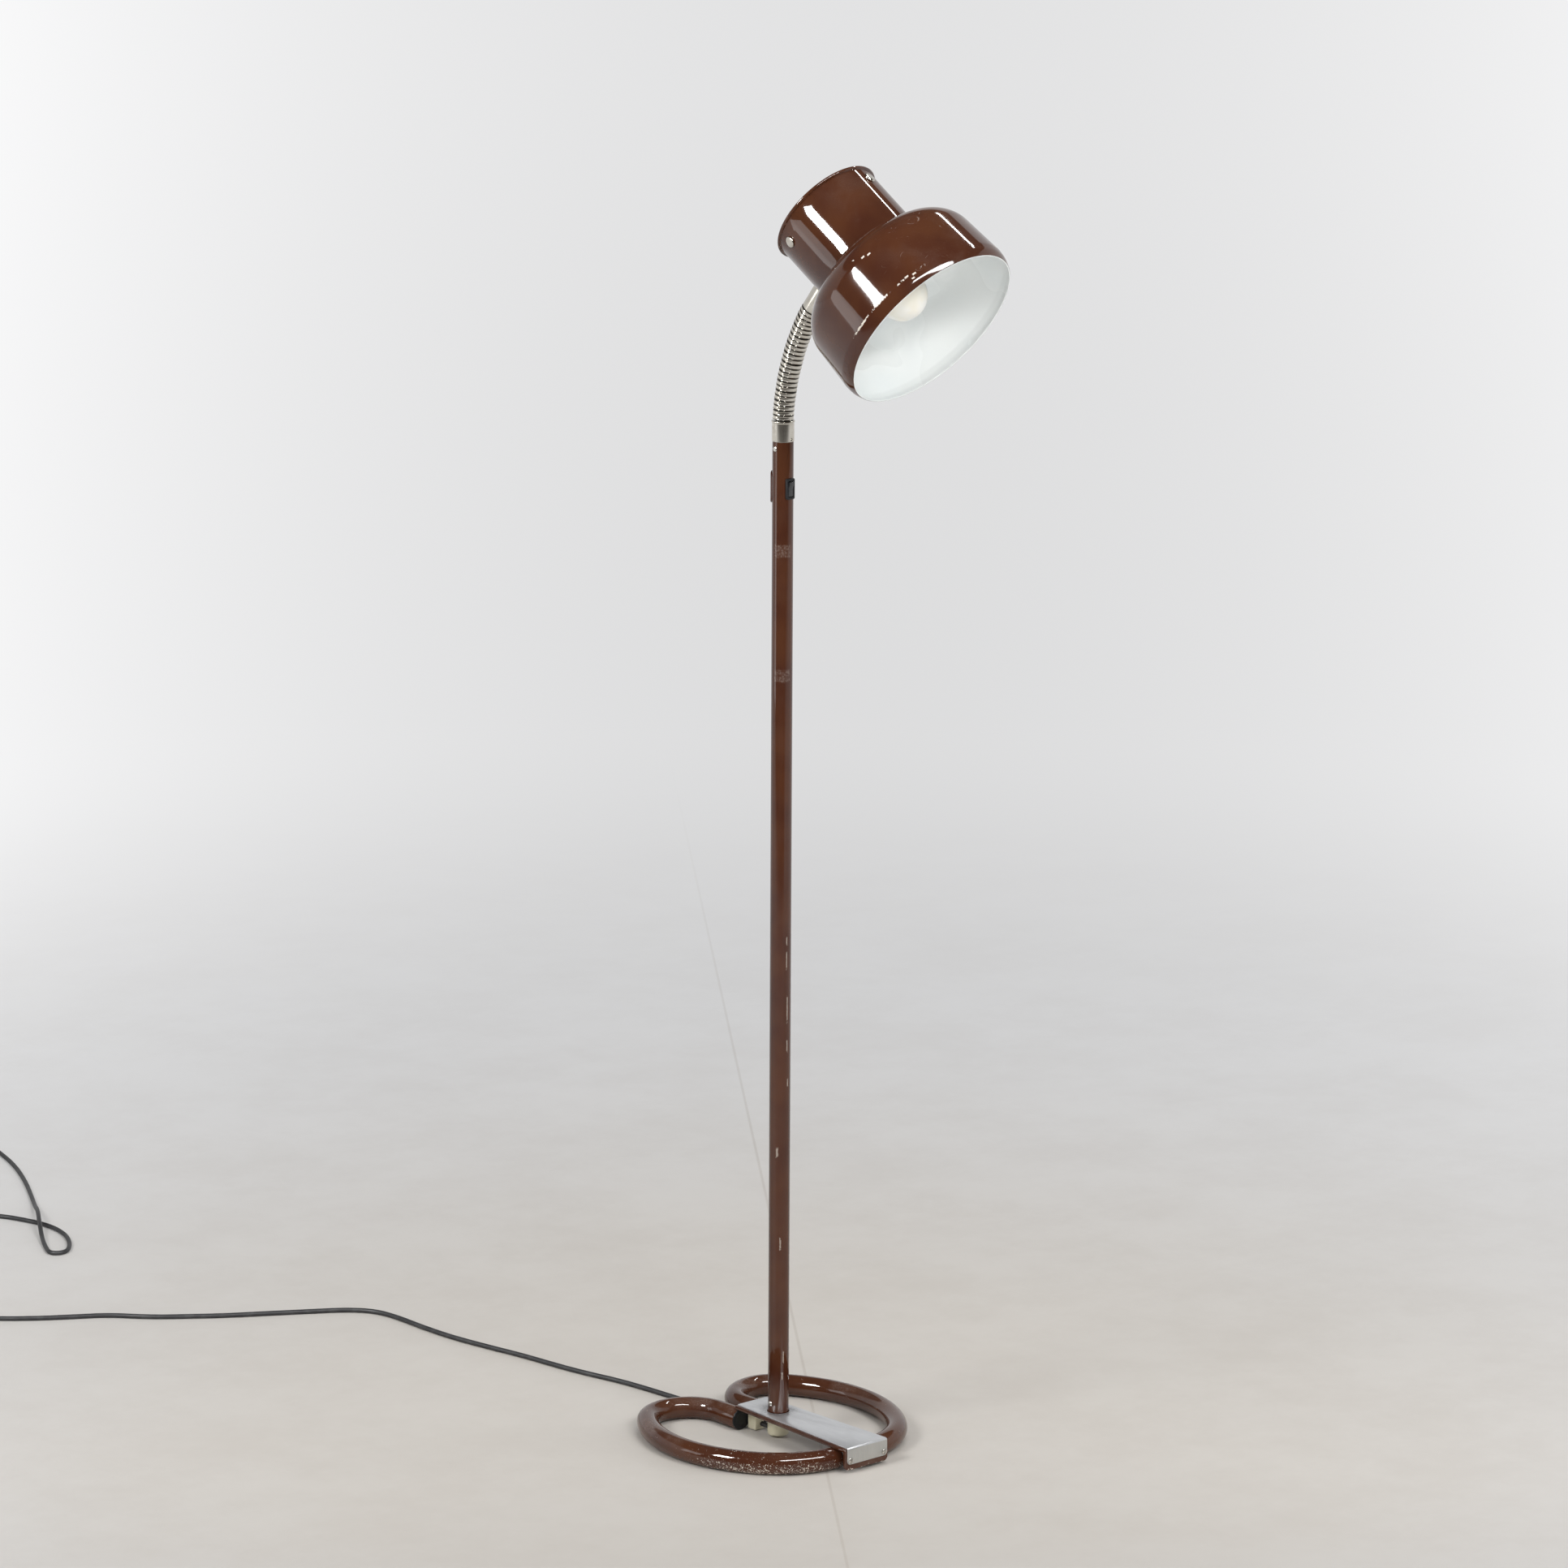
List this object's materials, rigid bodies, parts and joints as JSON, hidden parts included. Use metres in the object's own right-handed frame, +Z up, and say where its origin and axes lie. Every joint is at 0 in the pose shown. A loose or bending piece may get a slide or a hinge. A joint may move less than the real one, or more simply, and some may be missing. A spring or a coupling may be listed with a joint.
{
  "type": "gooseneck floor lamp",
  "caption": "Reading floor lamp: bent-tube loop base under a plated strap, slim pole with rocker switch, ribbed gooseneck and a deep spun shade with a globe bulb.",
  "frame": {"origin": "the pole's axis on the floor", "axes": "+Z up, -Y the way that the lamp faces, +X to the right when seen from the front with the strap towards the viewer"},
  "size_m": [0.5504, 1.6809, 1.2989],
  "materials": {
    "brown_lacquer": "gloss lacquer, worn",
    "nickel": "nickel plate",
    "cover_aluminium": "brushed, aged",
    "bright_steel": "zinc plate",
    "black_plastic": "satin",
    "rocker_plastic": "gloss",
    "cream_plastic": "aged",
    "white_plastic": "gloss",
    "brass": "plain",
    "pin_metal": "nickel plate",
    "bulb_metal": "plain",
    "frosted_glass": "frosted",
    "cord_sheath": "satin"
  },
  "bodies": {
    "stand": {"base_strap": "brown_lacquer", "base_tube_left": "brown_lacquer", "base_tube_right": "brown_lacquer", "cord_coil": "cord_sheath", "cord_grip": "cream_plastic", "cord_run": "cord_sheath", "cord_tail": "cord_sheath", "cord_tie": "black_plastic", "cover_plate": "cover_aluminium", "cover_screws": "bright_steel", "ferrule_grub_screw": "bright_steel", "foot_cover": "cream_plastic", "foot_nut": "bright_steel", "foot_screw": "bright_steel", "foot_washer": "bright_steel", "grip_screw": "bright_steel", "lower_ferrule": "nickel", "plug_body": "black_plastic", "plug_pins": "pin_metal", "pole": "brown_lacquer", "pole_foot": "bright_steel", "pole_lead": "cord_sheath", "pole_rivet": "bright_steel", "pole_top_insert": "bright_steel", "rocker_pin": "bright_steel", "switch_back_cover": "brown_lacquer", "switch_housing": "black_plastic", "switch_terminals": "brass", "tube_end_plugs": "black_plastic", "upper_lead": "cord_sheath"},
    "link_01": {"gooseneck_link_01": "nickel"},
    "link_02": {"gooseneck_link_02": "nickel"},
    "link_03": {"gooseneck_link_03": "nickel"},
    "link_04": {"gooseneck_link_04": "nickel"},
    "link_05": {"gooseneck_link_05": "nickel"},
    "link_06": {"gooseneck_link_06": "nickel"},
    "link_07": {"gooseneck_link_07": "nickel"},
    "link_08": {"gooseneck_link_08": "nickel"},
    "link_09": {"gooseneck_link_09": "nickel"},
    "link_10": {"gooseneck_link_10": "nickel"},
    "link_11": {"gooseneck_link_11": "nickel"},
    "link_12": {"gooseneck_link_12": "nickel"},
    "head": {"shade": "brown_lacquer", "neck_cap": "brown_lacquer", "neck_screws": "nickel", "upper_ferrule": "nickel", "upper_insert": "bright_steel", "neck_washer": "bright_steel", "neck_lock_nut": "bright_steel", "holder_stem": "bright_steel", "stem_nuts": "bright_steel", "holder_back": "white_plastic", "holder_ceramic": "white_plastic", "holder_sleeve": "white_plastic", "holder_thread": "brass", "holder_contact": "brass", "bulb_cap": "bulb_metal", "bulb_glass": "frosted_glass", "head_lead": "cord_sheath"},
    "rocker": {"switch_rocker": "rocker_plastic"}
  },
  "joints": [
    {"name": "gooseneck_bend_01", "type": "hinge", "parent": "stand", "child": "link_01", "pos_m": [0, 0, 1.0414], "axis": [0.9914, 0.1305, 0], "range_deg": [-8.1, 3.9]},
    {"name": "gooseneck_bend_02", "type": "hinge", "parent": "link_01", "child": "link_02", "pos_m": [0.00008, -0.00062, 1.0514], "axis": [0.9914, 0.1305, 0], "range_deg": [-8.1, 3.9]},
    {"name": "gooseneck_bend_03", "type": "hinge", "parent": "link_02", "child": "link_03", "pos_m": [0.00025, -0.00187, 1.06134], "axis": [0.9914, 0.1305, 0], "range_deg": [-8.1, 3.9]},
    {"name": "gooseneck_side_1", "type": "hinge", "parent": "link_03", "child": "link_04", "pos_m": [0.00049, -0.00373, 1.07119], "axis": [0.1282, -0.9739, -0.1875], "range_deg": [-8, 8]},
    {"name": "gooseneck_bend_04", "type": "hinge", "parent": "link_04", "child": "link_05", "pos_m": [0.00074, -0.0056, 1.08103], "axis": [0.9914, 0.1305, 0], "range_deg": [-8.1, 3.9]},
    {"name": "gooseneck_bend_05", "type": "hinge", "parent": "link_05", "child": "link_06", "pos_m": [0.00106, -0.00807, 1.09073], "axis": [0.9914, 0.1305, 0], "range_deg": [-8.1, 3.9]},
    {"name": "gooseneck_side_2", "type": "hinge", "parent": "link_06", "child": "link_07", "pos_m": [0.00147, -0.01114, 1.10026], "axis": [0.1241, -0.9428, -0.3093], "range_deg": [-8, 8]},
    {"name": "gooseneck_bend_06", "type": "hinge", "parent": "link_07", "child": "link_08", "pos_m": [0.00187, -0.01422, 1.10979], "axis": [0.9914, 0.1305, 0], "range_deg": [-8.1, 3.9]},
    {"name": "gooseneck_bend_07", "type": "hinge", "parent": "link_08", "child": "link_09", "pos_m": [0.00235, -0.01787, 1.11911], "axis": [0.9914, 0.1305, 0], "range_deg": [-8.1, 3.9]},
    {"name": "gooseneck_side_3", "type": "hinge", "parent": "link_09", "child": "link_10", "pos_m": [0.00291, -0.02211, 1.12817], "axis": [0.1181, -0.8969, -0.4261], "range_deg": [-8, 8]},
    {"name": "gooseneck_bend_08", "type": "hinge", "parent": "link_10", "child": "link_11", "pos_m": [0.00347, -0.02634, 1.13724], "axis": [0.9914, 0.1305, 0], "range_deg": [-8.1, 3.9]},
    {"name": "gooseneck_bend_09", "type": "hinge", "parent": "link_11", "child": "link_12", "pos_m": [0.0041, -0.03113, 1.14602], "axis": [0.9914, 0.1305, 0], "range_deg": [-8.1, 3.9]},
    {"name": "gooseneck_bend_10", "type": "hinge", "parent": "link_12", "child": "head", "pos_m": [0.0048, -0.03646, 1.15448], "axis": [0.9914, 0.1305, 0], "range_deg": [-8.1, 3.9]},
    {"name": "switch_rock", "type": "hinge", "parent": "stand", "child": "rocker", "pos_m": [0, -0.01035, 0.9738], "axis": [1, 0, 0], "range_deg": [-14, 0]}
  ],
  "couplings": [
    {"joint": "gooseneck_bend_02", "follows": "gooseneck_bend_01", "ratio": 1},
    {"joint": "gooseneck_bend_03", "follows": "gooseneck_bend_01", "ratio": 1},
    {"joint": "gooseneck_bend_04", "follows": "gooseneck_bend_01", "ratio": 1},
    {"joint": "gooseneck_bend_05", "follows": "gooseneck_bend_01", "ratio": 1},
    {"joint": "gooseneck_bend_06", "follows": "gooseneck_bend_01", "ratio": 1},
    {"joint": "gooseneck_bend_07", "follows": "gooseneck_bend_01", "ratio": 1},
    {"joint": "gooseneck_bend_08", "follows": "gooseneck_bend_01", "ratio": 1},
    {"joint": "gooseneck_bend_09", "follows": "gooseneck_bend_01", "ratio": 1},
    {"joint": "gooseneck_bend_10", "follows": "gooseneck_bend_01", "ratio": 1},
    {"joint": "gooseneck_side_2", "follows": "gooseneck_side_1", "ratio": 1},
    {"joint": "gooseneck_side_3", "follows": "gooseneck_side_1", "ratio": 1}
  ]
}
